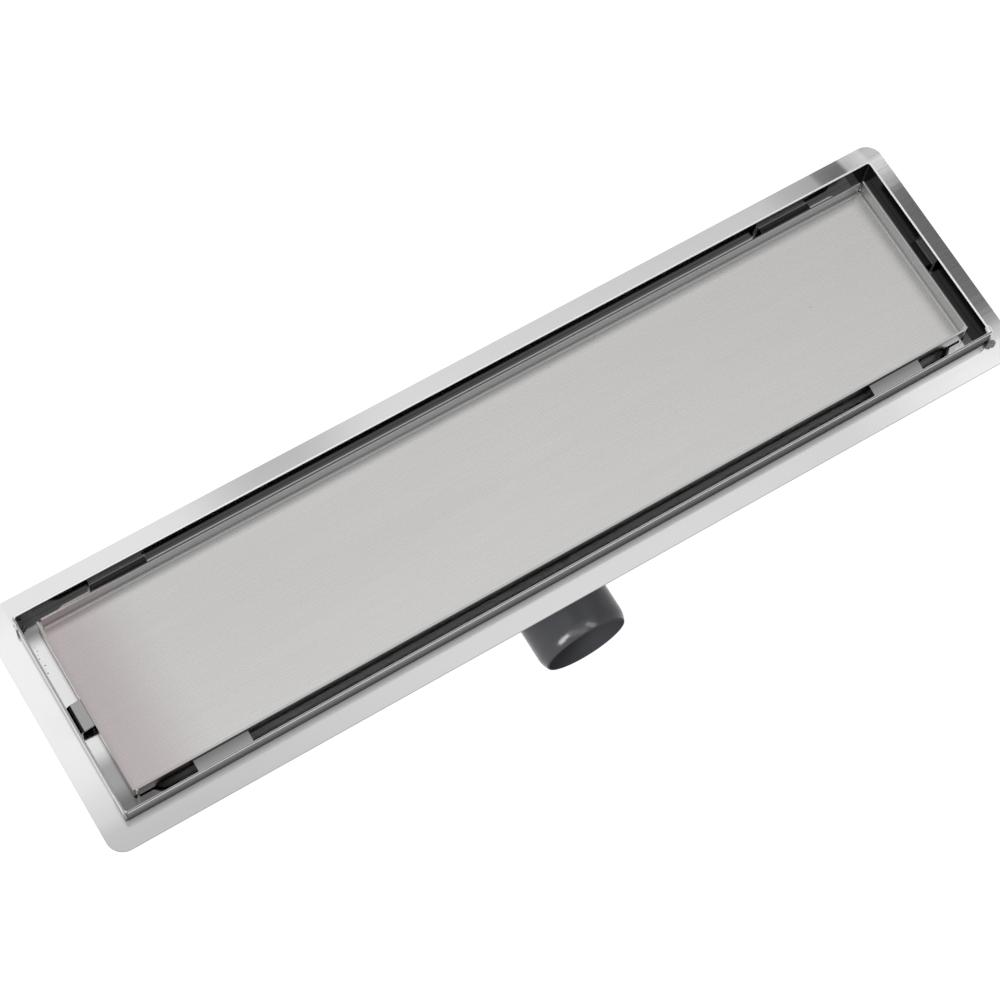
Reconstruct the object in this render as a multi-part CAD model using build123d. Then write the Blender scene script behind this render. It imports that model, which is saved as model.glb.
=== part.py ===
from build123d import *
import math
import os

os.makedirs("parts", exist_ok=True)

# Millimetres. z = 0 is the trap's flat base, the channel runs along X, the spigot leaves toward -Y.

# Sheet and pan
sheet = 1.2
flange_length = 530.0
flange_width = 140.0
flange_corner = 9.0
flange_margin = 13.0
bend = 1.5

# Rim frame
rim_height = 12.2
rim_bend = 1.2
rim_return = 5.0

# Trough
ledge_at_sides = 1.6
ledge_at_ends = 16.3
trough_corner = 9.5
trough_draft = 10.0
trough_fillet = 3.2
depth_at_ends = 11.0
depth_at_outlet = 22.0

# Outlet seat in the trough floor
outlet_radius = 31.0
seat_depth = 5.0

# Tile tray
slot_at_sides = 6.7
slot_at_ends = 8.0
tray_height = 12.0
tray_bend = 1.0
tray_slit = 0.4
tray_end_gap = 0.6

# Spacers in the slots
spacer_sheet = 1.0
spacer_bend = 2.2
spacer_drop = 3.6
spacer_slope = 10.0
spacer_play = 0.35
side_spacer_length = 30.0
side_spacer_from_end = 46.8
end_spacer_length = 15.0
left_spacer_shift = 2.5

# Trap body
trap_wall = 2.8
trap_base = 3.0
trap_base_round = 3.0
trap_draft = 2.0
trap_roof = 4.5
trap_shoulder = 6.0
neck_wall = 3.0
neck_margin = 4.0
spigot_radius = 25.0
spigot_wall = 2.8
spigot_lift = 5.0
spigot_headroom = 0.3
spigot_past_flange = 8.0
spigot_nose = 7.0
spigot_nose_drop = 2.0
collar_step = 2.0
collar_past_roof = 1.0
rib_count = 12
rib_thickness = 2.0
rib_height = 16.0

# Seals
gasket_thickness = 2.0
gasket_width = 8.0
clamp_gasket_thickness = 1.5
groove_depth = 0.9
seal_play = 0.05

# Clamp ring
thread_play = 0.3
clamp_wall = 3.4
clamp_length = 12.0
clamp_flange_width = 8.2
clamp_flange_thickness = 4.0
clamp_edge_play = 0.8
clamp_notches = 6
clamp_notch_width = 6.0
clamp_notch_depth = 2.5
insert_play = 0.5
insert_ledge = 2.6

# Trap cup and dip tube
cup_wall = 1.8
cup_floor = 2.0
cup_flange = 1.8
cup_gap = 5.0
window_count = 6
window_width = 18.0
window_height = 10.0
window_gap = 2.0
tube_flange = 1.6
tube_wall = 1.6
tube_radius = 16.0
tube_gap = 8.0
funnel_height = 16.0

# Hair strainer
strainer_sheet = 0.8
strainer_lip = 1.4
strainer_margin = 1.0
strainer_border = 7.0
strainer_hole = 1.7
strainer_rows = 3

# Heights, from the base up
spigot_axis = spigot_lift + spigot_radius
roof_under = spigot_axis + spigot_radius + spigot_headroom
trap_top = roof_under + trap_roof
seat_under = trap_top + gasket_thickness
seat_top = seat_under + sheet
floor_z = seat_top + seat_depth
flange_top = floor_z + depth_at_outlet
rim_top = flange_top + rim_height
tray_bottom = rim_top - tray_height
clamp_flange_under = seat_top + clamp_gasket_thickness
clamp_top = clamp_flange_under + clamp_flange_thickness
clamp_bottom = clamp_flange_under - clamp_length
neck_bottom = clamp_bottom - neck_margin
tube_seat = clamp_top - tube_flange
insert_seat = tube_seat - cup_flange
seal_z = (insert_seat + clamp_bottom) / 2
cup_bottom = trap_base + cup_gap
tube_end = cup_bottom + cup_floor + tube_gap

# Half lengths and half widths in plan
bend_reach = (bend + sheet) * math.tan(math.radians((90 - trough_draft) / 2))
flange_x = flange_length / 2
flange_y = flange_width / 2
rim_x = flange_x - flange_margin
rim_y = flange_y - flange_margin
tray_x = rim_x - sheet - slot_at_ends
tray_y = rim_y - sheet - slot_at_sides
mouth_x = rim_x - sheet - ledge_at_ends - bend_reach
mouth_y = rim_y - sheet - ledge_at_sides - bend_reach
mouth_corner = trough_corner - bend_reach
floor_rise = depth_at_outlet - depth_at_ends

# Radii about the outlet's upright axis
clamp_outer = outlet_radius - thread_play
clamp_inner = clamp_outer - clamp_wall
clamp_flange_radius = outlet_radius + clamp_flange_width
seat_radius = clamp_flange_radius + clamp_edge_play
insert_rest = clamp_inner + insert_ledge
insert_radius = insert_rest - insert_play
cup_outer = clamp_inner - insert_play
cup_inner = cup_outer - cup_wall
tube_brim = cup_inner - insert_play
tube_outer = tube_radius + tube_wall
trap_flange_radius = outlet_radius + gasket_width + trap_shoulder
trap_base_radius = outlet_radius + neck_wall + trap_shoulder
strainer_radius = insert_radius - strainer_margin

upward = (Align.CENTER, Align.CENTER, Align.MIN)
from_corner = (Align.MIN, Align.MIN, Align.MIN)


def save(shape, name):
    shape.label = name
    export_step(shape, "parts/" + name + ".step")


def round_plate(half_x, half_y, corner, z):
    return Pos(0, 0, z) * RectangleRounded(2 * half_x, 2 * half_y, corner)


def turned(*points):
    # Outline of (radius, height) points turned about the upright axis.
    return revolve(Plane.XZ * make_face(Polyline(*points, close=True)), Axis.Z)


def ring(inner, outer, low, high):
    return turned((inner, low), (outer, low), (outer, high), (inner, high))


# Pan: flat flange and drawn trough, its floor falling to the outlet seat
def trough(grow):
    # The trough's space, with every wall moved outward by the given amount.
    lean = math.radians(trough_draft)
    side = grow / math.cos(lean)
    reach = depth_at_outlet + 2 * sheet
    low = side - reach * math.tan(lean)
    mouth = round_plate(mouth_x + side, mouth_y + side, mouth_corner + side, flange_top)
    bottom = round_plate(mouth_x + low, mouth_y + low, mouth_corner + low, flange_top - reach)
    space = loft([mouth, bottom], ruled=True)
    centre = floor_z - grow
    end = centre + floor_rise
    fall = [ThreePointArc((-mouth_x, end), (0, centre), (mouth_x, end)),
            Polyline((mouth_x, end), (flange_x, end), (flange_x, flange_top), (-flange_x, flange_top),
                     (-flange_x, end), (-mouth_x, end))]
    space = space & extrude(Plane.XZ * make_face(fall), flange_y, both=True)
    floor = space.faces().sort_by(Axis.Z)[0]
    space = fillet(floor.edges(), trough_fillet + grow)
    seat = Cylinder(seat_radius + grow, seat_depth + sheet, align=upward)
    return space + Pos(0, 0, seat_top - grow) * seat


def make_pan():
    pan = extrude(round_plate(flange_x, flange_y, flange_corner, flange_top - sheet), sheet)
    pan = pan + trough(sheet) - trough(0)
    upper = pan.faces().filter_by(Axis.Z).sort_by(Axis.Z)[-1]
    pan = fillet(upper.inner_wires()[0].edges(), bend + sheet)
    levels = pan.faces().filter_by(Axis.Z)
    under = [f for f in levels if abs(f.center().Z - flange_top + sheet) < 1e-3][0]
    pan = fillet(under.inner_wires()[0].edges(), bend)
    return pan - Pos(0, 0, seat_under) * Cylinder(outlet_radius, 4 * sheet)


# Rim frame: two bent strips; the right one turns both far corners, and the two joints are welded
def rim_face(inset, corner):
    outline = Rectangle(2 * (rim_x - inset), 2 * (rim_y - inset))
    bent = [v for v in outline.vertices() if v.X < 0 or v.Y > 0]
    return fillet(bent, corner)


def make_rim():
    outline = rim_face(0, rim_bend + sheet) - rim_face(sheet, rim_bend)
    rim = extrude(Pos(0, 0, flange_top) * outline, rim_height)
    near_side = Box(2 * rim_x - sheet, sheet, rim_height, align=from_corner)
    left_end = Box(sheet + rim_bend, 2 * rim_y - rim_return, rim_height, align=from_corner)
    left_reach = Pos(-rim_x, -rim_y, flange_top) * (near_side + left_end)
    return rim & left_reach, rim - left_reach


# Tile tray: one folded sheet, walls turned up, corners left open
def fold(reach, length):
    # Bend and upright wall at the edge of a floor that reaches the given distance along X.
    outer = tray_bend + sheet
    root = reach - outer
    inner = reach - sheet
    outline = [Line((root, 0), (root, sheet)),
               CenterArc((root, outer), tray_bend, -90, 90),
               Line((inner, outer), (inner, tray_height)),
               Line((inner, tray_height), (reach, tray_height)),
               Line((reach, tray_height), (reach, outer)),
               CenterArc((root, outer), outer, 0, -90)]
    return extrude(Plane.XZ * make_face(outline), length / 2, both=True)


def make_tray():
    turn_in = tray_bend + sheet
    tray = Box(2 * (tray_x - turn_in), 2 * (tray_y - turn_in), sheet, align=upward)
    end_wall = fold(tray_x, 2 * (tray_y - tray_end_gap))
    side_wall = fold(tray_y, 2 * (tray_x - turn_in - tray_slit))
    for turn in (0, 180):
        tray += Rot(0, 0, turn) * end_wall
        tray += Rot(0, 0, turn + 90) * side_wall
    return Pos(0, 0, tray_bottom) * tray


# Spacers: strips welded to the tray wall that slope down over the slot and stand on the ledge
def make_spacer(slot, length):
    lean = math.radians(spacer_slope)
    top = rim_top - spacer_drop
    under = top - spacer_sheet / math.cos(lean)
    wide = slot - spacer_play
    inside = wide - spacer_sheet
    shoulder = (wide, top - wide * math.tan(lean))
    throat = (inside, under - inside * math.tan(lean))
    outline = make_face(Polyline((0, top), shoulder, (wide, flange_top), (inside, flange_top), throat,
                                 (0, under), close=True))
    outline = fillet(outline.vertices().sort_by_distance(shoulder)[0], spacer_bend + spacer_sheet)
    outline = fillet(outline.vertices().sort_by_distance(throat)[0], spacer_bend)
    return extrude(Plane.XZ * outline, length / 2, both=True)


# Trap body: moulded tub with a side spigot and a threaded neck
def level(shape):
    return Pos(0, 0, spigot_axis) * Rot(90, 0, 0) * shape


def make_rib():
    low = roof_under - rib_height
    outline = make_face(Polyline((0, low), (trap_base_radius, low), (trap_flange_radius - sheet, roof_under),
                                 (0, roof_under), close=True))
    return extrude(Plane.XZ * outline, rib_thickness / 2, both=True)


def make_spigot(reach):
    nose_start = (spigot_radius, reach - spigot_nose)
    nose_end = (spigot_radius - spigot_nose_drop, reach)
    outline = Polyline(nose_end, (0, reach), (0, 0), (spigot_radius, 0), nose_start)
    outline += TangentArc(nose_start, nose_end, tangent=(0, 1))
    return revolve(Plane.XZ * make_face(outline), Axis.Z)


def make_trap_body():
    flare = math.tan(math.radians(trap_draft))
    tub = turned((0, 0), (trap_base_radius, 0), (trap_base_radius + trap_top * flare, trap_top),
                 (0, trap_top))
    tub = fillet(tub.edges().filter_by(GeomType.CIRCLE).sort_by(Axis.Z)[0], trap_base_round)
    tub += ring(0, trap_flange_radius, roof_under, trap_top)
    spigot_reach = flange_y + spigot_past_flange
    tub += level(make_spigot(spigot_reach))
    tub += level(ring(0, spigot_radius + collar_step, 0, trap_flange_radius + collar_past_roof))
    spigot_turn = 270
    spigot_spread = math.degrees(math.asin(spigot_radius / trap_base_radius))
    for i in range(rib_count):
        turn = 360 / rib_count * (i + 0.5)
        if abs(turn - spigot_turn) > spigot_spread:
            tub += Rot(0, 0, turn) * make_rib()
    well_radius = trap_base_radius - trap_wall
    tub -= turned((0, trap_base), (well_radius, trap_base),
                  (well_radius + (roof_under - trap_base) * flare, roof_under), (0, roof_under))
    tub -= level(ring(0, spigot_radius - spigot_wall, 0, spigot_reach))
    tub += ring(outlet_radius, outlet_radius + neck_wall, neck_bottom, trap_top)
    return tub - ring(0, outlet_radius, neck_bottom, trap_top)


# Clamp ring: threaded barrel through the pan with a flange in the outlet seat
def make_clamp_ring():
    clamp = turned((clamp_inner, clamp_bottom), (clamp_outer, clamp_bottom),
                   (clamp_outer, clamp_flange_under), (clamp_flange_radius, clamp_flange_under),
                   (clamp_flange_radius, clamp_top), (insert_rest, clamp_top), (insert_rest, insert_seat),
                   (clamp_inner, insert_seat))
    notch = Box(2 * clamp_notch_depth, clamp_notch_width, clamp_flange_thickness)
    for i in range(clamp_notches):
        clamp -= Rot(0, 0, 360 / clamp_notches * i) * Pos(clamp_flange_radius, 0, clamp_top) * notch
    return clamp


# Trap cup: hangs in the clamp ring, overflow windows round its wall
def make_trap_cup():
    groove = cup_outer - groove_depth
    half = (groove_depth + insert_play) / 2
    cup = turned((0, cup_bottom), (cup_outer, cup_bottom), (cup_outer, seal_z - half),
                 (groove, seal_z - half), (groove, seal_z + half), (cup_outer, seal_z + half),
                 (cup_outer, insert_seat), (insert_radius, insert_seat), (insert_radius, tube_seat),
                 (cup_inner, tube_seat), (cup_inner, cup_bottom + cup_floor), (0, cup_bottom + cup_floor))
    sill = clamp_bottom - window_gap - window_height
    window = Box(4 * cup_wall, window_width, window_height, align=upward)
    for i in range(window_count):
        cup -= Rot(0, 0, 360 / window_count * i) * Pos(cup_outer, 0, sill) * window
    return cup


# Dip tube: funnel that rests on the cup and a straight tube into the water
def make_dip_tube():
    throat = tube_seat - funnel_height
    return turned((tube_radius, tube_end), (tube_outer, tube_end), (tube_outer, throat),
                  (tube_brim, tube_seat), (insert_radius, tube_seat), (insert_radius, clamp_top),
                  (tube_brim - tube_wall, clamp_top), (tube_radius, throat))


# O-ring between the cup's groove and the clamp ring's bore
def make_cup_seal():
    inner = cup_outer - groove_depth + seal_play
    outer = clamp_inner - seal_play
    section = Pos((inner + outer) / 2, seal_z) * Circle((outer - inner) / 2)
    return revolve(Plane.XZ * section, Axis.Z)


# Hair strainer: shallow perforated dish lying on the dip tube's flange
def make_strainer():
    floor = clamp_top + strainer_sheet
    brim = strainer_radius - strainer_sheet
    dish = turned((0, clamp_top), (strainer_radius, clamp_top), (strainer_radius, clamp_top + strainer_lip),
                  (brim, clamp_top + strainer_lip), (brim, floor), (0, floor))
    hole = Pos(0, 0, clamp_top) * Cylinder(strainer_hole, 4 * strainer_sheet)
    dish -= hole
    pitch = (strainer_radius - strainer_border) / strainer_rows
    for row in range(1, strainer_rows + 1):
        for i in range(6 * row):
            dish -= Rot(0, 0, 60 / row * i) * Pos(row * pitch, 0, 0) * hole
    return dish


save(make_pan(), "pan")
left_strip, right_strip = make_rim()
save(left_strip, "rim_strip_left")
save(right_strip, "rim_strip_right")
save(make_tray(), "tile_tray")

side_spacer = Pos(tray_y, 0, 0) * make_spacer(slot_at_sides, side_spacer_length)
side_spacer_x = tray_x - side_spacer_from_end
number = 1
for turn in (90, -90):
    for x in (-side_spacer_x, side_spacer_x):
        save(Pos(x, 0, 0) * Rot(0, 0, turn) * side_spacer, "side_spacer_%d" % number)
        number += 1
end_spacer = Pos(tray_x, 0, 0) * make_spacer(slot_at_ends, end_spacer_length)
save(Pos(0, -left_spacer_shift, 0) * Rot(0, 0, 180) * end_spacer, "end_spacer_1")
save(end_spacer, "end_spacer_2")

save(make_trap_body(), "trap_body")
save(ring(outlet_radius, outlet_radius + gasket_width, trap_top, seat_under), "trap_gasket")
save(ring(outlet_radius, clamp_flange_radius, seat_top, clamp_flange_under), "clamp_gasket")
save(make_clamp_ring(), "clamp_ring")
save(make_trap_cup(), "trap_cup")
save(make_dip_tube(), "dip_tube")
save(make_cup_seal(), "cup_seal")
save(make_strainer(), "hair_strainer")
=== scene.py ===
import bpy
import bmesh
import math
import random
from mathutils import Matrix, Vector


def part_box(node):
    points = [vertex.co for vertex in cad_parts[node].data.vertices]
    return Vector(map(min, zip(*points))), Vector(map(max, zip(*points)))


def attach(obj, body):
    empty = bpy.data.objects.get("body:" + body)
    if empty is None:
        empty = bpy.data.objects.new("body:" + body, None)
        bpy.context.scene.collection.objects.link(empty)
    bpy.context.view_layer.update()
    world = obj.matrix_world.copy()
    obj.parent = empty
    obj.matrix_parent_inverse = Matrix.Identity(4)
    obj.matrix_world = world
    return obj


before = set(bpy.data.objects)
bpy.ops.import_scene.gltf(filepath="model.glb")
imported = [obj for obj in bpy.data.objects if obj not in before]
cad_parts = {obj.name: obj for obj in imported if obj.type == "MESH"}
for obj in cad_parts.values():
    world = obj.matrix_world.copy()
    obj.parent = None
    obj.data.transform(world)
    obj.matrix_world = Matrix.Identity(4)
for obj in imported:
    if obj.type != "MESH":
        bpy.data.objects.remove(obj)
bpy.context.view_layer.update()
scene = bpy.context.scene
scene.view_settings.view_transform = "Standard"
mm = 0.001
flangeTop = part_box("pan")[1].z
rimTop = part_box("rim_strip_left")[1].z
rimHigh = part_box("rim_strip_right")[1]
print("frame loaded:", len(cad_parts), "nodes")


# node helpers
def feed(tree, node, inputs):
    for name, value in inputs.items():
        if isinstance(value, bpy.types.NodeSocket):
            tree.links.new(value, node.inputs[name])
        else:
            node.inputs[name].default_value = value
    return node


def grow(tree, kind, inputs=None, **settings):
    node = tree.nodes.new("ShaderNode" + kind)
    for name, value in settings.items():
        setattr(node, name, value)
    return feed(tree, node, inputs or {})


def sums(tree, operation, first, second=0.0):
    return grow(tree, "Math", {0: first, 1: second}, operation=operation).outputs[0]


def vectors(tree, operation, inputs, output=0):
    return grow(tree, "VectorMath", inputs, operation=operation).outputs[output]


def ranged(tree, value, low, high, toLow=0.0, toHigh=1.0, smooth=False):
    kind = "SMOOTHSTEP" if smooth else "LINEAR"
    node = grow(tree, "MapRange", {"Value": value, "From Min": low, "From Max": high,
                                   "To Min": toLow, "To Max": toHigh}, interpolation_type=kind)
    return node.outputs["Result"]


def blended(tree, share, first, second):
    return grow(tree, "Mix", {0: share, 6: first, 7: second}, data_type="RGBA").outputs[2]


def tinted(tree, mask, amount, colour, tint):
    return blended(tree, sums(tree, "MULTIPLY", mask, amount), colour, tint)


def stretched(tree, scale=(1.0, 1.0, 1.0)):
    coords = grow(tree, "TexCoord").outputs["Object"]
    return grow(tree, "Mapping", {"Vector": coords, "Scale": scale}).outputs["Vector"]


def cloud(tree, vector, scale, detail=2.0, rough=0.5, distortion=0.0):
    node = grow(tree, "TexNoise", {"Vector": vector, "Scale": scale, "Detail": detail,
                                   "Roughness": rough, "Distortion": distortion})
    return node.outputs["Fac"]


def boxShare(tree, places, middles, halves, softs):
    share = 1.0
    for place, middle, half, soft in zip(places, middles, halves, softs):
        offset = sums(tree, "ABSOLUTE", sums(tree, "SUBTRACT", place, middle))
        share = sums(tree, "MULTIPLY", ranged(tree, offset, half + soft, half, smooth=True), share)
    return share


def startGroup(name, inputs, outputs):
    tree = bpy.data.node_groups.new(name, "ShaderNodeTree")
    for label, start in inputs.items():
        socket = tree.interface.new_socket(name=label, in_out="INPUT", socket_type="NodeSocketFloat")
        socket.default_value = start
    for label in outputs:
        tree.interface.new_socket(name=label, in_out="OUTPUT", socket_type="NodeSocketFloat")
    entry = tree.nodes.new("NodeGroupInput")
    leave = tree.nodes.new("NodeGroupOutput")
    return tree, entry.outputs, leave


def useGroup(tree, group, **inputs):
    node = tree.nodes.new("ShaderNodeGroup")
    node.node_tree = group
    return feed(tree, node, inputs).outputs


noiseSpan = (0.3, 0.7)  # most values of a noise lie in this span
lineSpan = (0.25, 0.75)  # and those of the finer brush lines in this one

# fine lines that a brush or a roll leaves, along X on flat faces and along Y on the end faces
brushLook = {
    "endFaces": (0.6, 0.8), "lineStretch": 0.012, "lineDetail": 3.0, "lineBreaks": 0.6,
    "streakStretch": 0.05, "streakSize": 130.0,
}


def makeBrushLines(look):
    tree, inputs, leave = startGroup("brushLines", {"Fineness": 900.0}, ["Lines", "Streaks"])
    normal = grow(tree, "NewGeometry").outputs["Normal"]
    onEnds = sums(tree, "ABSOLUTE", grow(tree, "SeparateXYZ", {0: normal}).outputs["X"])
    onEnds = ranged(tree, onEnds, *look["endFaces"])
    lines = []
    for scale in ((look["lineStretch"], 1.0, 1.0), (1.0, look["lineStretch"], 1.0)):
        coords = stretched(tree, scale)
        lines.append(cloud(tree, coords, inputs["Fineness"], look["lineDetail"], look["lineBreaks"]))
    streaks = cloud(tree, stretched(tree, (look["streakStretch"], 1.0, 1.0)), look["streakSize"])
    feed(tree, leave, {"Lines": blended(tree, onEnds, *lines), "Streaks": streaks})
    return tree


# wiping marks and fingerprints: soft patches with finer breaks inside
markLook = {
    "detail": 4.0, "broken": 0.55, "swirl": 0.6, "softEdge": 0.22,
    "breakSize": 420.0, "breakRough": 0.6, "breakSpan": (0.3, 0.6), "breakTone": (0.55, 1.0),
}


def makeHandMarks(look):
    tree, inputs, leave = startGroup("handMarks", {"Size": 22.0, "Cover": 0.5}, ["Marks"])
    coords = stretched(tree)
    patch = cloud(tree, coords, inputs["Size"], look["detail"], look["broken"], look["swirl"])
    limit = sums(tree, "SUBTRACT", 1.0, inputs["Cover"])
    mask = ranged(tree, patch, limit, sums(tree, "ADD", limit, look["softEdge"]), smooth=True)
    breaks = cloud(tree, coords, look["breakSize"], rough=look["breakRough"])
    breaks = ranged(tree, breaks, *look["breakSpan"], *look["breakTone"])
    feed(tree, leave, {"Marks": sums(tree, "MULTIPLY", mask, breaks)})
    return tree


# slow waves of thin sheet, with a little of a quicker one, as a height
waveLook = {"slowStretch": 0.6, "quickStretch": 0.5, "quickTimes": 6.0, "quickShare": 0.07,
            "detail": 1.0, "rough": 0.4}


def makeSheetWaves(look):
    tree, inputs, leave = startGroup("sheetWaves", {"Length": 14.0}, ["Height"])
    slowCoords = stretched(tree, (look["slowStretch"], 1.0, 1.0))
    slow = cloud(tree, slowCoords, inputs["Length"], look["detail"], look["rough"])
    quickCoords = stretched(tree, (look["quickStretch"], 1.0, 1.0))
    quickLength = sums(tree, "MULTIPLY", inputs["Length"], look["quickTimes"])
    quick = cloud(tree, quickCoords, quickLength, look["detail"], look["rough"])
    quick = sums(tree, "MULTIPLY", quick, look["quickShare"])
    feed(tree, leave, {"Height": sums(tree, "ADD", slow, quick)})
    return tree


# tiny pits, specks and grit
speckLook = {"leftOut": 0.72, "core": 0.5}


def makeSpecks(look):
    tree, inputs, leave = startGroup("specks", {"Spacing": 60.0, "Radius": 0.05}, ["Specks"])
    cells = grow(tree, "TexVoronoi", {"Vector": stretched(tree), "Scale": inputs["Spacing"]}, feature="F1")
    chance = grow(tree, "SeparateColor", {0: cells.outputs["Color"]}).outputs[0]
    kept = sums(tree, "GREATER_THAN", chance, look["leftOut"])
    core = sums(tree, "MULTIPLY", inputs["Radius"], look["core"])
    spot = ranged(tree, cells.outputs["Distance"], inputs["Radius"], core)
    feed(tree, leave, {"Specks": sums(tree, "MULTIPLY", kept, spot)})
    return tree


# how near a sharp edge is, for rubbed edges
wearLook = {"samples": 6, "matchSpan": (0.995, 0.85)}


def makeRubbedEdges(look):
    tree, inputs, leave = startGroup("rubbedEdges", {"Reach": 0.0006}, ["Edge"])
    rounded = grow(tree, "Bevel", {"Radius": inputs["Reach"]}, samples=look["samples"]).outputs["Normal"]
    flat = grow(tree, "NewGeometry").outputs["Normal"]
    match = vectors(tree, "DOT_PRODUCT", {0: rounded, 1: flat}, "Value")
    feed(tree, leave, {"Edge": ranged(tree, match, *look["matchSpan"])})
    return tree


# upright faces that look toward the middle of the drain, and those that look away from it
facingLook = {"none": 10 * mm, "full": 30 * mm}


def makeFacing(look):
    tree, inputs, leave = startGroup("facing", {}, ["Inward", "Outward"])
    place = grow(tree, "TexCoord").outputs
    flat = vectors(tree, "MULTIPLY", {0: place["Normal"], 1: (1, 1, 0)})
    lean = vectors(tree, "DOT_PRODUCT", {0: flat, 1: place["Object"]}, "Value")
    feed(tree, leave, {"Inward": ranged(tree, lean, -look["none"], -look["full"]),
                       "Outward": ranged(tree, lean, look["none"], look["full"])})
    return tree


brushLines, handMarks, facing = makeBrushLines(brushLook), makeHandMarks(markLook), makeFacing(facingLook)
sheetWaves, specks, rubbedEdges = makeSheetWaves(waveLook), makeSpecks(speckLook), makeRubbedEdges(wearLook)


def emptyMaterial(name):
    material = bpy.data.materials.new(name)
    material.use_nodes = True
    material.node_tree.nodes.clear()
    return material, material.node_tree


def startMaterial(name, **fixed):
    material, tree = emptyMaterial(name)
    shader = grow(tree, "BsdfPrincipled", {key.replace("_", " "): value for key, value in fixed.items()})
    grow(tree, "OutputMaterial", {"Surface": shader.outputs[0]})
    return material, tree, shader


def bumped(tree, height, depth, under=None):
    inputs = {"Height": height, "Distance": depth, "Strength": 1.0}
    if under:
        inputs["Normal"] = under
    return grow(tree, "Bump", inputs).outputs["Normal"]


def grey(tone, warm=0.0):
    return (tone + warm, tone, tone - warm, 1.0)


def axes(tree):
    return grow(tree, "SeparateXYZ", {0: grow(tree, "TexCoord").outputs["Object"]}).outputs


# shades: what each place of the drain does to the plain finish; most of them also paint light and shade into
# the colour, as painted reflections, highlights and shade
def laidOver(tree, share, look, colour, rough):
    rough = sums(tree, "ADD", rough, sums(tree, "MULTIPLY", share, look["rough"]))
    return blended(tree, share, colour, look["colour"]), rough


def shadeDeep(tree, look, colour, rough):
    deep = ranged(tree, axes(tree)["Z"], look["top"], look["top"] - look["reach"], smooth=True)
    return laidOver(tree, deep, look, colour, rough)


# painted light and shade on the upright faces in the slots: their colour is darkened as shade or lightened
# as light
def paintedSlotLightAndShade(tree, look, colour, rough):
    return laidOver(tree, useGroup(tree, facing)[look["side"]], look, colour, rough)


# the flange's outer edge faces: a rougher cut edge, and a near-black colour that is painted shade, drawing a
# dark outline
def cutEdgeWithPaintedShade(tree, look, colour, rough):
    edge = useGroup(tree, facing)["Outward"]
    edge = sums(tree, "MULTIPLY", edge, sums(tree, "GREATER_THAN", axes(tree)["Z"], look["above"]))
    return laidOver(tree, edge, look, colour, rough)


# painted shade: the rim's outer walls darker toward their foot, on its near and left walls only
def paintedFootShade(tree, look, colour, rough):
    foot = ranged(tree, axes(tree)["Z"], look["top"], look["base"])
    foot = sums(tree, "MULTIPLY", foot, useGroup(tree, facing)["Outward"])
    for axis, limit in (("X", rimHigh.x - look["inset"]), ("Y", rimHigh.y - look["inset"])):
        foot = sums(tree, "MULTIPLY", foot, sums(tree, "LESS_THAN", axes(tree)[axis], limit))
    return laidOver(tree, foot, look, colour, rough)


topSkin = (0.35 * mm, 0.15 * mm)  # where a top face's tone starts and is full, measured down from it
lipSkin = (0.6 * mm, 0.3 * mm)  # the same for the spigot's mouth, measured in from its lip


# painted highlight and shade on a top face: the rim's top edge lightened as a highlight, the tray's top edge
# darkened as shade
def paintedTopHighlightAndShade(tree, look, colour, rough):
    start, full = (look["top"] - depth for depth in topSkin)
    return laidOver(tree, ranged(tree, axes(tree)["Z"], start, full), look, colour, rough)


# painted shade: the spigot's lip face is darkened, and made rougher
def paintedMouthShade(tree, look, colour, rough):
    start, full = (look["lip"] + depth for depth in lipSkin)
    return laidOver(tree, ranged(tree, axes(tree)["Y"], start, full), look, colour, rough)


def shadeEnd(tree, look, colour, rough):
    share = ranged(tree, axes(tree)[look["axis"]], look["start"], look["full"], smooth=True)
    return laidOver(tree, share, look, colour, rough)


# painted light: soft patches and thin lines of lighter or darker tone that paint reflections, highlights and
# shade into the colour
def paintedLightPatches(tree, look, colour, rough):
    place = axes(tree)
    inside = 1.0
    for axis, limit in (("X", rimHigh.x), ("Y", rimHigh.y)):
        offset = sums(tree, "ABSOLUTE", place[axis])
        inside = sums(tree, "MULTIPLY", sums(tree, "LESS_THAN", offset, limit), inside)
    outside = sums(tree, "SUBTRACT", 1.0, inside)
    coords = grow(tree, "TexCoord").outputs["Object"]
    for middle, half, soft, turn, within, tone in look["patches"]:
        turned = grow(tree, "Mapping", {"Vector": coords, "Location": (middle[0] * mm, middle[1] * mm, 0),
                                        "Rotation": (0, 0, math.radians(turn))}, vector_type="TEXTURE")
        local = grow(tree, "SeparateXYZ", {0: turned.outputs[0]}).outputs
        halves, softs = [size * mm for size in half], [size * mm for size in soft]
        share = boxShare(tree, (local["X"], local["Y"]), (0, 0), halves, softs)
        share = sums(tree, "MULTIPLY", share, inside if within else outside)
        colour = blended(tree, share, colour, grey(tone))
    return colour, rough


# outward faces past a place on an axis, in millimetres, shaded as if pushed to another slant
def leaned(tree, leans):
    normal = grow(tree, "NewGeometry").outputs["Normal"]
    for axis, beyond, push in leans:
        side = sums(tree, "GREATER_THAN" if beyond > 0 else "LESS_THAN", axes(tree)[axis], beyond * mm)
        side = sums(tree, "MULTIPLY", side, useGroup(tree, facing)["Outward"])
        pushed = vectors(tree, "SCALE", {0: push, "Scale": side})
        normal = vectors(tree, "ADD", {0: normal, 1: pushed})
    return vectors(tree, "NORMALIZE", {0: normal})


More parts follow.
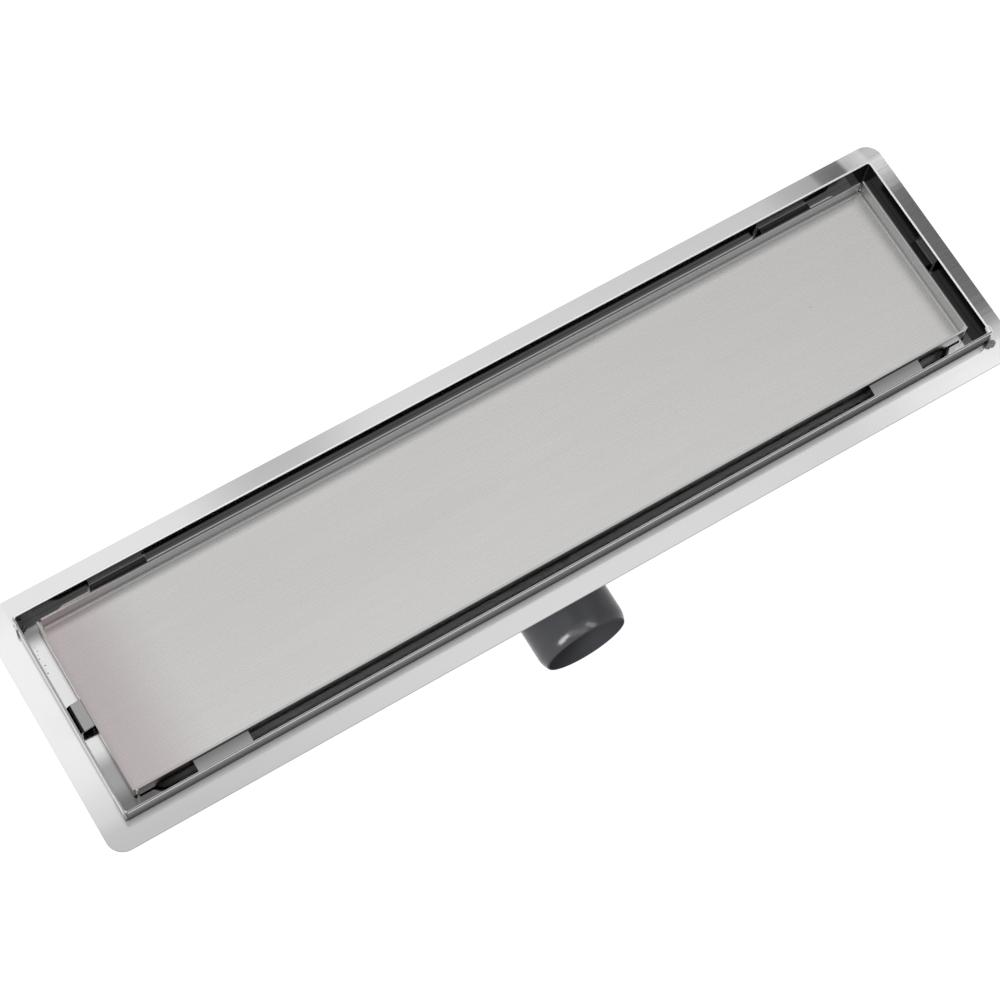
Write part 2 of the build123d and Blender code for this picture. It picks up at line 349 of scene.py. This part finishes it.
# sheet steel in its several finishes
def makeSteel(name, look, places=()):
    material, tree, shader = startMaterial(name, Metallic=1.0, Anisotropic=look["anisotropy"])
    brush = useGroup(tree, brushLines, Fineness=look["fineness"])
    marks = useGroup(tree, handMarks, Size=look["markSize"], Cover=look["markCover"])["Marks"]
    grit = useGroup(tree, specks, Spacing=look["speckSpacing"], Radius=look["speckRadius"])["Specks"]
    waves = useGroup(tree, sheetWaves, Length=look["waveLength"])["Height"]
    colour = blended(tree, ranged(tree, brush["Streaks"], *noiseSpan), look["dark"], look["light"])
    colour = tinted(tree, marks, look["markTint"], colour, look["markColour"])
    colour = tinted(tree, grit, look["speckTint"], colour, look["speckColour"])
    rough = ranged(tree, brush["Lines"], *lineSpan, look["smooth"], look["rough"])
    rough = sums(tree, "ADD", rough, sums(tree, "MULTIPLY", marks, look["markRough"]))
    for shade, local in places:
        colour, rough = shade(tree, local, colour, rough)
    normal = bumped(tree, waves, look["waveDepth"], leaned(tree, look["leans"]))
    normal = bumped(tree, brush["Lines"], look["lineDepth"], normal)
    feed(tree, shader, {"Base Color": colour, "Roughness": rough, "Normal": normal})
    return material


steelBase = {
    "dark": (0.755, 0.75, 0.745, 1), "light": (0.775, 0.77, 0.765, 1),
    "smooth": 0.05, "rough": 0.075, "anisotropy": 0.0, "fineness": 900.0, "lineDepth": 8e-7,
    "waveLength": 14.0, "waveDepth": 1e-4, "leans": [],
    "markSize": 22.0, "markCover": 0.42, "markTint": 0.12, "markRough": 0.05,
    "markColour": (0.66, 0.645, 0.63, 1), "speckSpacing": 60.0, "speckRadius": 0.03,
    "speckTint": 0.55, "speckColour": (0.2, 0.19, 0.18, 1),
}
# patches of painted reflection and shade: middle and half size in millimetres, soft edge, turn in degrees,
# inside the rim or not, tone
panSteel = makeSteel("panSteel", steelBase, [
    (shadeEnd, {"axis": "X", "start": 236 * mm, "full": 205 * mm, "rough": 0.06, "colour": grey(0.76)}),
    # the deep trough: rougher, and given a lighter colour that is painted light
    (shadeDeep, {"top": flangeTop - 2 * mm, "reach": 6 * mm, "rough": 0.6, "colour": grey(0.88)}),
    # painted shade and reflections on the pan: dark corners and bands inside the rim, lighter and darker
    # patches on the flange
    (paintedLightPatches, {"patches": [
        ((-252, -57), (18, 27), (30, 12), 0, True, 0.38),
        ((-252, -57), (14, 7), (26, 12), 0, True, 0.2),
        ((-252, 57), (8, 8), (8, 10), 0, True, 0.22),
        ((0, 56), (240, 6), (8, 1), 0, True, 0.3),
        ((250, 0), (9, 60), (1, 1), 0, True, 0.14),
        ((-262, 12), (9, 36), (1, 30), 0, False, 0.86),
        ((-60, -68), (210, 8), (50, 10), 0, False, 0.65),
        ((236, -66), (22, 6), (30, 3), 0, False, 0.86),
        ((-100, 64), (6, 12), (55, 2), 0, False, 0.6),
        ((262, -6), (12, 44), (1, 3), 4, False, 0.7),
        ((262, 52), (10, 8), (1, 3), 4, False, 0.97),
        ((220, 64), (8, 14), (24, 2), 11, False, 0.62),
        ((235, 64), (6.5, 14), (4, 2), 11, False, 0.38),
        ((250, 64), (5, 14), (3, 3), 11, False, 0.97),
    ]}),
    # painted shade: the flange's outer edge darkened into a dark outline
    (cutEdgeWithPaintedShade, {"above": flangeTop - 1.4 * mm, "rough": 0.25, "colour": grey(0.14)}),
])
rimSteel = makeSteel("rimSteel", {
    **steelBase, "dark": (0.86, 0.855, 0.85, 1), "light": (0.92, 0.915, 0.91, 1),
    "smooth": 0.1, "rough": 0.16, "waveDepth": 6e-5, "leans": [("Y", -45, (0, 0, 0.15))],
}, [
    # painted shade: the rim's inner faces darkened as the slot's shade
    (paintedSlotLightAndShade, {"side": "Inward", "rough": 0.0, "colour": grey(0.09, 0.002)}),
    # painted shade at the foot of the rim's outer walls
    (paintedFootShade, {"top": rimTop - 1 * mm, "base": flangeTop + 1 * mm, "inset": 0.5 * mm,
                 "rough": 0.0, "colour": grey(0.1)}),
    # painted highlight along the rim's top edge
    (paintedTopHighlightAndShade, {"top": rimTop, "rough": 0.1, "colour": grey(0.95)}),
    # painted highlights and shade: thin lighter and darker lines on the rim's top and inner faces
    (paintedLightPatches, {"patches": [
        ((0, -56.4), (260, 0.3), (1, 0.15), 0, True, 0.3),
        ((-251.4, 0), (0.3, 60), (0.15, 1), 0, True, 0.4),
        ((-196, 55.6), (15, 0.3), (1.5, 0.15), 0, True, 0.9),
        ((196, 55.6), (15, 0.3), (1.5, 0.15), 0, True, 0.9),
        ((250.6, 0), (0.3, 7.5), (0.15, 1.5), 0, True, 0.9),
    ]}),
])
traySteel = makeSteel("traySteel", {
    **steelBase, "dark": (0.645, 0.637, 0.627, 1), "light": (0.655, 0.647, 0.637, 1),
    "smooth": 0.25, "rough": 0.31, "anisotropy": 0.3, "fineness": 1500.0, "lineDepth": 1.8e-6,
    "waveDepth": 6e-5, "markCover": 0.38,
}, [
    # painted shade on the tray's outer walls, painted light on its inner walls
    (paintedSlotLightAndShade, {"side": "Outward", "rough": -0.05, "colour": grey(0.5)}),
    (paintedSlotLightAndShade, {"side": "Inward", "rough": 0.0, "colour": grey(0.85, 0.008)}),
    # painted shade along the tray's top edge
    (paintedTopHighlightAndShade, {"top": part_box("tile_tray")[1].z, "rough": 0.1, "colour": grey(0.6)}),
    # painted shade: darker far and right walls of the tray, with dark lines along their top edges
    (paintedLightPatches, {"patches": [
        ((0, 49), (241, 2.2), (1, 1.0), 0, True, 0.5),
        ((242, 0), (1.5, 46), (0.3, 0.3), 0, True, 0.55),
        ((0, 48.9), (250, 0.5), (1, 0.1), 0, True, 0.1),
        ((242.7, 0), (0.5, 50), (0.1, 1), 0, True, 0.1),
    ]}),
    (shadeEnd, {"axis": "X", "start": -190 * mm, "full": -235 * mm, "rough": 0.0,
                "colour": (0.54, 0.49, 0.49, 1)}),
])
spacerSteel = makeSteel("spacerSteel", {
    **steelBase, "dark": (0.70, 0.695, 0.69, 1), "light": (0.77, 0.765, 0.76, 1),
    "smooth": 0.16, "rough": 0.24, "waveDepth": 3e-5,
    "leans": [("Y", -45, (0, 0, 4)), ("Y", 53.8, (0, -1.2, 4)), ("X", 248.8, (-1.2, 0, 4))],
}, [
    # painted shade and light on the spacers: darker and lighter bands across them in place of their shading
    (paintedLightPatches, {"patches": [
        ((0, -53), (230, 8), (2, 1), 0, True, 0.3),
        ((0, -48), (230, 1), (2, 6), 0, True, 0.18),
        ((0, 53), (230, 8), (2, 1), 0, True, 0.13),
        ((0, 53.4), (230, 0.4), (2, 0.8), 0, True, 0.06),
        ((0, 56.2), (230, 1.4), (2, 1.2), 0, True, 0.1),
        ((248, 0), (8, 30), (1, 1), 0, True, 0.03),
        ((251.2, 0), (1.4, 30), (2, 1), 0, True, 0.1),
        ((-248, 0), (8, 30), (1, 1), 0, True, 0.34),
    ]}),
])
strainerSteel = makeSteel("strainerSteel", {**steelBase, "smooth": 0.22, "rough": 0.3, "waveDepth": 3e-5})
weldSteel = makeSteel("weldSteel", {
    **steelBase, "dark": (0.90, 0.895, 0.89, 1), "light": (0.96, 0.955, 0.95, 1),
    "smooth": 0.12, "rough": 0.2, "waveLength": 300.0, "waveDepth": 1.5e-5, "fineness": 600.0,
}, [
    (shadeDeep, {"top": rimTop - 4 * mm, "reach": 3 * mm, "rough": 0.15, "colour": grey(0.26)}),
])
print("steel finishes ready")


# moulded plastics and rubber
def makeMoulded(name, look, places=()):
    material, tree, shader = startMaterial(name, Metallic=0.0, Specular_IOR_Level=look["shine"])
    flowCoords = stretched(tree, (1.0, look["flowStretch"], 1.0))
    flow = cloud(tree, flowCoords, look["flowSize"], 3.0, 0.55, look["flowSwirl"])
    fine = cloud(tree, stretched(tree), look["grainSize"])
    marks = useGroup(tree, handMarks, Size=look["scuffSize"], Cover=look["scuffCover"])["Marks"]
    grit = useGroup(tree, specks, Spacing=look["gritSpacing"], Radius=look["gritRadius"])["Specks"]
    edge = useGroup(tree, rubbedEdges, Reach=look["edgeReach"])["Edge"]
    colour = blended(tree, ranged(tree, flow, *noiseSpan), look["dark"], look["light"])
    for mask, amount in ((marks, "scuffTint"), (grit, "gritTint"), (edge, "edgeTint")):
        colour = tinted(tree, mask, look[amount], colour, look["scuffColour"])
    rough = ranged(tree, fine, *noiseSpan, look["smooth"], look["rough"])
    rough = sums(tree, "ADD", rough, sums(tree, "MULTIPLY", marks, look["scuffRough"]))
    for shade, local in places:
        colour, rough = shade(tree, local, colour, rough)
    normal = bumped(tree, fine, look["grainDepth"])
    feed(tree, shader, {"Base Color": colour, "Roughness": rough, "Normal": normal})
    return material


mouldedBase = {
    "shine": 0.22, "flowStretch": 0.35, "flowSwirl": 0.8, "scuffSize": 30.0, "scuffRough": 0.12,
    "gritSpacing": 90.0, "gritRadius": 0.04, "gritTint": 0.35,
}
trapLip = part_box("trap_body")[0].y
greyPlastic = makeMoulded("greyPlastic", {
    **mouldedBase, "dark": (0.026, 0.0265, 0.029, 1), "light": (0.033, 0.0335, 0.037, 1),
    "smooth": 0.17, "rough": 0.22, "flowSize": 26.0, "grainSize": 1400.0, "grainDepth": 3e-6,
    "scuffCover": 0.3, "scuffTint": 0.08, "scuffColour": (0.14, 0.142, 0.148, 1),
    "edgeReach": 6e-4, "edgeTint": 0.02,
}, [
    # painted shade: the spigot is darker toward the pan above it
    (shadeEnd, {"axis": "Y", "start": trapLip + 8 * mm, "full": trapLip + 34 * mm, "rough": 0.0,
                "colour": (0.018, 0.0185, 0.02, 1)}),
    # painted shade on the spigot's lip
    (paintedMouthShade, {"lip": trapLip, "rough": 0.6, "colour": grey(0.018)}),
])
blackPlastic = makeMoulded("blackPlastic", {
    **mouldedBase, "dark": (0.018, 0.018, 0.02, 1), "light": (0.03, 0.03, 0.032, 1),
    "smooth": 0.34, "rough": 0.46, "flowSize": 30.0, "grainSize": 1200.0, "grainDepth": 1e-5,
    "scuffCover": 0.4, "scuffTint": 0.2, "scuffColour": (0.11, 0.11, 0.11, 1),
    "edgeReach": 6e-4, "edgeTint": 0.4,
})
whitePlastic = makeMoulded("whitePlastic", {
    **mouldedBase, "dark": (0.72, 0.715, 0.70, 1), "light": (0.79, 0.785, 0.77, 1),
    "smooth": 0.28, "rough": 0.38, "flowSize": 24.0, "grainSize": 1300.0, "grainDepth": 5e-6,
    "scuffCover": 0.36, "scuffTint": 0.12, "scuffColour": (0.55, 0.54, 0.52, 1),
    "edgeReach": 5e-4, "edgeTint": 0.2,
})
sealRubber = makeMoulded("sealRubber", {
    **mouldedBase, "dark": (0.02, 0.02, 0.02, 1), "light": (0.034, 0.034, 0.034, 1),
    "smooth": 0.6, "rough": 0.75, "flowSize": 40.0, "grainSize": 900.0, "grainDepth": 1.5e-5,
    "scuffCover": 0.5, "scuffTint": 0.3, "scuffColour": (0.10, 0.10, 0.095, 1),
    "edgeReach": 4e-4, "edgeTint": 0.25,
})
print("plastics and rubber ready")

# nodes that aren't named here are spacers
nodeFinish = {
    "pan": panSteel, "rim_strip_left": rimSteel, "rim_strip_right": rimSteel, "tile_tray": traySteel,
    "trap_body": greyPlastic, "clamp_ring": blackPlastic, "trap_cup": whitePlastic, "dip_tube": whitePlastic,
    "hair_strainer": strainerSteel, "trap_gasket": sealRubber, "clamp_gasket": sealRubber,
    "cup_seal": sealRubber,
}
# radius of the broken edges in millimetres
edgeRounding = {
    "pan": 0.0, "rim_strip_left": 0.25, "rim_strip_right": 0.25, "tile_tray": 0.2, "trap_body": 0.12,
    "others": 0.15,
}
edgeLook = {"joinWithin": 1e-6, "segments": 2, "sharpAngle": 40.0}


# CAD nodes: finish, soft shading and slightly broken edges
def dressNodes(look):
    for name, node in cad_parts.items():
        node.data.materials.clear()
        node.data.materials.append(nodeFinish.get(name, spacerSteel))
        weld = node.modifiers.new("joinedEdges", "WELD")
        weld.merge_threshold = look["joinWithin"]
        radius = edgeRounding.get(name, edgeRounding["others"]) * mm
        if radius:
            rounding = node.modifiers.new("brokenEdges", "BEVEL")
            rounding.width = radius
            rounding.segments = look["segments"]
            rounding.limit_method = "ANGLE"
            rounding.angle_limit = math.radians(look["sharpAngle"])
            rounding.use_clamp_overlap = True
        node.modifiers.new("evenShading", "WEIGHTED_NORMAL").keep_sharp = True


dressNodes(edgeLook)
print("nodes dressed")

# weld beads and tacks: lumps fused into one skin; places and radii in millimetres
lumpLook = {"subdivisions": 3, "uneven": (0.94, 1.05), "settleShare": 0.5, "settleRounds": 8}


def fuseLumps(name, lumps, grain, flat=1.0):
    chance = random.Random(name)
    skin = bmesh.new()
    for x, y, z, radius in lumps:
        ball = bmesh.ops.create_icosphere(skin, subdivisions=lumpLook["subdivisions"], radius=radius * mm)
        squeeze = [chance.uniform(*lumpLook["uneven"]) for axis in range(3)]
        squeeze[2] *= flat
        for vert in ball["verts"]:
            vert.co = Vector(c * k for c, k in zip(vert.co, squeeze)) + Vector((x, y, z)) * mm
    mesh = bpy.data.meshes.new(name)
    skin.to_mesh(mesh)
    skin.free()
    mesh.materials.append(weldSteel)
    piece = bpy.data.objects.new(name, mesh)
    scene.collection.objects.link(piece)
    fused = piece.modifiers.new("fused", "REMESH")
    fused.mode = "VOXEL"
    fused.voxel_size = grain * mm
    fused.use_smooth_shade = True
    settled = piece.modifiers.new("settled", "SMOOTH")
    settled.factor, settled.iterations = lumpLook["settleShare"], lumpLook["settleRounds"]
    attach(piece, "root")


flangeLevel, rimLevel = flangeTop / mm, rimTop / mm
rimX, rimY = rimHigh.x / mm, rimHigh.y / mm
trayLow, trayHigh = (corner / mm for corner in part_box("tile_tray"))

# near right corner of the rim: a bead over the joint, and a blob where it was finished on the flange
nearRightWeld = {
    "bead": {"count": 3, "start": (-0.8, 1.4, -0.95), "step": (0.2, 1.0), "radius": 1.7, "flat": 0.5,
             "grain": 0.14},
    "seam": {"count": 7, "start": (0.1, -0.1, 1.2), "rise": 1.3, "radius": 0.5, "grain": 0.14},
    "blob": {"lumps": ((-1.0, -1.7, 0.9, 1.6), (0.2, -1.0, 1.4, 1.6), (1.5, -1.8, 1.0, 1.8)), "grain": 0.2},
}


def weldNearRight(look):
    bead, seam, blob = look["bead"], look["seam"], look["blob"]
    x, y, z = bead["start"]
    stepX, stepY = bead["step"]
    lumps = [(rimX + x + stepX * k, -rimY + y + stepY * k, rimLevel + z, bead["radius"])
             for k in range(bead["count"])]
    fuseLumps("weldBeadTop", lumps, bead["grain"], bead["flat"])
    x, y, z = seam["start"]
    lumps = [(rimX + x, -rimY + y, flangeLevel + z + seam["rise"] * k, seam["radius"])
             for k in range(seam["count"])]
    fuseLumps("weldBeadSeam", lumps, seam["grain"])
    lumps = [(rimX + x, -rimY + y, flangeLevel + z, radius) for x, y, z, radius in blob["lumps"]]
    fuseLumps("weldBlob", lumps, blob["grain"])


# far left: the butt joint of the strips, with spilled metal on the ledge inside
farLeftWeld = {
    "joint": {"count": 12, "fromSide": 5.0, "out": 0.05, "sway": 0.15, "swayTurn": 2.1, "low": 0.8,
              "rise": 0.9, "radius": 0.55, "grain": 0.12},
    "curl": {"count": 10, "at": (-248.6, 52.4), "reach": (1.5, 1.7), "turn": (0.8, 1.1), "fadeOver": 14,
             "lift": 0.1, "radius": 0.5, "swell": 0.12, "swellTurn": 2.3, "grain": 0.12},
    "dots": {"count": 8, "at": (-248.7, 41.5), "sway": 0.5, "swayTurn": 1.7, "step": 2.1, "sink": 0.1,
             "radius": 0.3, "swell": 0.08, "swellTurn": 2.9, "grain": 0.1},
}


def weldFarLeft(look):
    joint, curl, dots = look["joint"], look["curl"], look["dots"]
    lumps = []
    for k in range(joint["count"]):
        y = rimY - joint["fromSide"] + joint["sway"] * math.sin(joint["swayTurn"] * k)
        z = flangeLevel + joint["low"] + joint["rise"] * k
        lumps.append((-rimX - joint["out"], y, z, joint["radius"]))
    fuseLumps("jointSeam", lumps, joint["grain"])
    lumps = []
    for k in range(curl["count"]):
        x = curl["at"][0] + curl["reach"][0] * math.cos(curl["turn"][0] * k) * (1 - k / curl["fadeOver"])
        y = curl["at"][1] + curl["reach"][1] * math.sin(curl["turn"][1] * k)
        radius = curl["radius"] + curl["swell"] * math.sin(curl["swellTurn"] * k)
        lumps.append((x, y, flangeLevel + curl["lift"], radius))
    fuseLumps("weldCurl", lumps, curl["grain"])
    lumps = []
    for k in range(dots["count"]):
        x = dots["at"][0] + dots["sway"] * math.sin(dots["swayTurn"] * k)
        radius = dots["radius"] + dots["swell"] * math.sin(dots["swellTurn"] * k)
        lumps.append((x, dots["at"][1] - dots["step"] * k, flangeLevel - dots["sink"], radius))
    fuseLumps("weldDots", lumps, dots["grain"])


# tacks at the tray's corners, where its walls meet at the fold
trayTack = {"count": 2, "inX": 0.9, "inY": 0.75, "low": 0.9, "rise": 0.7, "radius": 0.8, "shrink": 0.15,
            "grain": 0.12}


def weldTray(look):
    for number, (sideX, sideY) in enumerate(((-1, -1), (1, -1), (-1, 1), (1, 1)), 1):
        x, y = sideX * (trayHigh.x - look["inX"]), sideY * (trayHigh.y - look["inY"])
        lumps = [(x, y, trayLow.z + look["low"] + look["rise"] * k, look["radius"] - look["shrink"] * k)
                 for k in range(look["count"])]
        fuseLumps("trayTack%d" % number, lumps, look["grain"])


# tacks of the spacers on the tray's walls, a short row at each end
spacerTack = {"count": 3, "fromEnd": 2.0, "step": 0.7, "off": 0.15, "down": 1.5, "radius": 0.55,
              "grain": 0.12}


def weldSpacers(look):
    for name in [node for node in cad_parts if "spacer" in node]:
        low, high = (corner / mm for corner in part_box(name))
        middle = (low + high) / 2
        alongX = high.x - low.x > high.y - low.y
        reach = (high.x - low.x if alongX else high.y - low.y) / 2 - look["fromEnd"]
        side = math.copysign(1.0, middle.y if alongX else middle.x)
        wall = side * ((trayHigh.y if alongX else trayHigh.x) + look["off"])
        lumps = []
        for end in (-1, 1):
            for k in range(look["count"]):
                shift = end * (reach - look["step"] * k)
                spot = (middle.x + shift, wall) if alongX else (wall, middle.y + shift)
                lumps.append((*spot, high.z - look["down"], look["radius"]))
        fuseLumps("tack_" + name, lumps, look["grain"])


weldNearRight(nearRightWeld)
weldFarLeft(farLeftWeld)
weldTray(trayTack)
weldSpacers(spacerTack)
print("welds laid")

# studio floor: white where it is seen or mirrored, plain where it only bounces light
floorLook = {"halfSize": 9.0, "cells": 8, "drop": 0.0005, "ownLight": 0.96, "paint": 0.2, "bounce": 0.8}


def makeFloor(look):
    mesh = bpy.data.meshes.new("studioFloor")
    sheet = bmesh.new()
    bmesh.ops.create_grid(sheet, x_segments=look["cells"], y_segments=look["cells"], size=look["halfSize"])
    sheet.to_mesh(mesh)
    sheet.free()
    floor = bpy.data.objects.new("studioFloor", mesh)
    scene.collection.objects.link(floor)
    floor.location.z = -look["drop"]
    material, tree = emptyMaterial("floorWhite")
    path = grow(tree, "LightPath").outputs
    seen = sums(tree, "MAXIMUM", path["Is Camera Ray"], path["Is Glossy Ray"])
    seen = sums(tree, "MAXIMUM", seen, path["Is Transmission Ray"])
    paint = grow(tree, "BsdfDiffuse", {"Color": grey(look["paint"])})
    plain = grow(tree, "BsdfDiffuse", {"Color": grey(look["bounce"])})
    glow = grow(tree, "Emission", {"Color": grey(1.0), "Strength": look["ownLight"]})
    white = grow(tree, "AddShader", {0: paint.outputs[0], 1: glow.outputs[0]})
    chosen = grow(tree, "MixShader", {0: seen, 1: plain.outputs[0], 2: white.outputs[0]})
    grow(tree, "OutputMaterial", {"Surface": chosen.outputs[0]})
    mesh.materials.append(material)


# soft boxes for the spigot; radiance is what a mirror under the box would show, 1 being white
softBoxes = {
    "leftBox": {"at": (-1.25, -0.52, 0.95), "size": (0.4, 0.9), "radiance": 24.0},
    "bandBox": {"at": (-0.35, -0.66, 1.15), "size": (1.3, 0.5), "radiance": 2.6},
    "rightBox": {"at": (0.55, -0.75, 1.30), "size": (0.35, 0.9), "radiance": 7.0},
}
boxAim = (0.0, -0.05, 0.06)
boxPower = 4.0  # watts for a square metre at a radiance of 1


def makeSoftBoxes(boxes):
    lit = bpy.data.collections.new("boxLit")
    lit.objects.link(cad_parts["trap_body"])
    for name, box in boxes.items():
        lamp = bpy.data.lights.new(name, "AREA")
        lamp.shape = "RECTANGLE"
        lamp.size, lamp.size_y = box["size"]
        lamp.energy = boxPower * box["size"][0] * box["size"][1] * box["radiance"]
        holder = bpy.data.objects.new(name, lamp)
        scene.collection.objects.link(holder)
        holder.location = box["at"]
        away = Vector(box["at"]) - Vector(boxAim)
        holder.rotation_euler = away.to_track_quat("Z", "Y").to_euler()
        holder.visible_camera = False
        holder.light_linking.receiver_collection = lit


# the room as seen from the drain: dark sides, a bright ceiling and pale walls below
# the ceiling's edges are in u and v, how far a direction leans toward +X and +Y
roomLook = {
    "horizon": 0.05, "rise": (0.0, 0.7), "low": 0.5, "high": 0.22,
    "nearTurn": (-0.3, 0.0), "nearSide": 1.7, "farTurn": (0.2, 0.5), "farSide": 0.25,
    "rightTurn": (0.15, 0.6), "rightSide": 0.3,
    "ceiling": 1.1, "clouds": 0.1, "cloudSize": 7.0, "leftEdge": (-1.0, -0.5), "rightEdge": (1.1, 0.75),
    "nearEdge": (-0.5, -0.34), "farEdge": (0.66, 0.48),
    "wallRise": (0.15, 0.45), "wallLow": 1.0, "wallHigh": 0.7, "wallTop": (0.62, 0.45),
    "patchRise": (0.3, 0.4),
}
# patches of the ceiling: middle, half size, soft edge and tone
roomPatches = {
    "nearLeft": {"at": (0.04, 0.23), "half": (0.05, 0.02), "soft": (0.12, 0.03), "tone": 0.66},
    "farRight": {"at": (0.43, 0.38), "half": (0.03, 0.03), "soft": (0.28, 0.03), "tone": 0.66},
    "farBeam": {"at": (0.19, 0.375), "half": (0.012, 0.028), "soft": (0.03, 0.012), "tone": 0.6},
    "darkWall": {"at": (0.505, 0.3125), "half": (0.06, 0.042), "soft": (0.016, 0.008), "tone": 0.16},
    "window": {"at": (0.463, 0.35), "half": (0.009, 0.006), "soft": (0.002, 0.003), "tone": 0.95},
}


def makeRoom(look):
    world = bpy.data.worlds.new("studioRoom")
    scene.world = world
    world.use_nodes = True
    tree = world.node_tree
    tree.nodes.clear()
    way = grow(tree, "SeparateXYZ", {0: grow(tree, "TexCoord").outputs["Generated"]}).outputs
    rise = sums(tree, "MAXIMUM", way["Z"], look["horizon"])
    u, v = sums(tree, "DIVIDE", way["X"], rise), sums(tree, "DIVIDE", way["Y"], rise)
    tone = ranged(tree, way["Z"], *look["rise"], look["low"], look["high"], True)
    nearer = ranged(tree, way["Y"], *look["nearTurn"], look["nearSide"], 1.0, True)
    farther = ranged(tree, way["Y"], *look["farTurn"], 1.0, look["farSide"], True)
    righter = ranged(tree, way["X"], *look["rightTurn"], 1.0, look["rightSide"], True)
    for side in (nearer, farther, righter):
        tone = sums(tree, "MULTIPLY", tone, side)
    spread = grow(tree, "CombineXYZ", {"X": u, "Y": v}).outputs[0]
    uneven = cloud(tree, spread, look["cloudSize"], 1.0)
    uneven = ranged(tree, uneven, *noiseSpan, 1.0 - look["clouds"], 1.0)
    box = sums(tree, "MULTIPLY", uneven, look["ceiling"])
    for place, edge in ((u, "leftEdge"), (u, "rightEdge"), (v, "nearEdge"), (v, "farEdge")):
        box = sums(tree, "MULTIPLY", box, ranged(tree, place, *look[edge], smooth=True))
    wall = ranged(tree, way["Z"], *look["wallRise"], look["wallLow"], look["wallHigh"])
    wall = sums(tree, "MULTIPLY", wall, ranged(tree, way["Z"], *look["wallTop"], smooth=True))
    tone = sums(tree, "MAXIMUM", sums(tree, "MAXIMUM", tone, box), wall)
    above = ranged(tree, way["Z"], *look["patchRise"])
    for patch in roomPatches.values():
        share = boxShare(tree, (u, v), patch["at"], patch["half"], patch["soft"])
        share = sums(tree, "MULTIPLY", share, above)
        tone = grow(tree, "Mix", {0: share, 2: tone, 3: patch["tone"]}, data_type="FLOAT").outputs[0]
    back = grow(tree, "Background", {"Color": grey(1.0), "Strength": tone})
    grow(tree, "OutputWorld", {"Surface": back.outputs[0]})


makeFloor(floorLook)
makeSoftBoxes(softBoxes)
makeRoom(roomLook)
print("studio ready")

# camera measured from the photograph
cameraPlace = {
    "at": (-0.3521, -0.4032, 1.4168), "azimuth": -40.514, "elevation": 68.501, "roll": -9.868,
    "focalPixels": 2851.8, "longSidePixels": 1001, "sensor": 36.0, "farthest": 50.0,
}


def makeCamera(place):
    turn, rise, roll = (math.radians(place[key]) for key in ("azimuth", "elevation", "roll"))
    back = Vector((math.sin(turn) * math.cos(rise), -math.cos(turn) * math.cos(rise), math.sin(rise)))
    right = Vector((math.cos(turn), math.sin(turn), 0.0))
    down = (-back).cross(right)
    sideways = math.cos(roll) * right + math.sin(roll) * down
    upward = math.sin(roll) * right - math.cos(roll) * down
    data = bpy.data.cameras.new("photoCamera")
    data.sensor_width = place["sensor"]
    data.lens = place["focalPixels"] * place["sensor"] / place["longSidePixels"]
    data.clip_end = place["farthest"]
    camera = bpy.data.objects.new("photoCamera", data)
    scene.collection.objects.link(camera)
    turned = Matrix((sideways, upward, back)).transposed()
    camera.matrix_world = Matrix.Translation(place["at"]) @ turned.to_4x4()
    scene.camera = camera


makeCamera(cameraPlace)
print("camera placed")
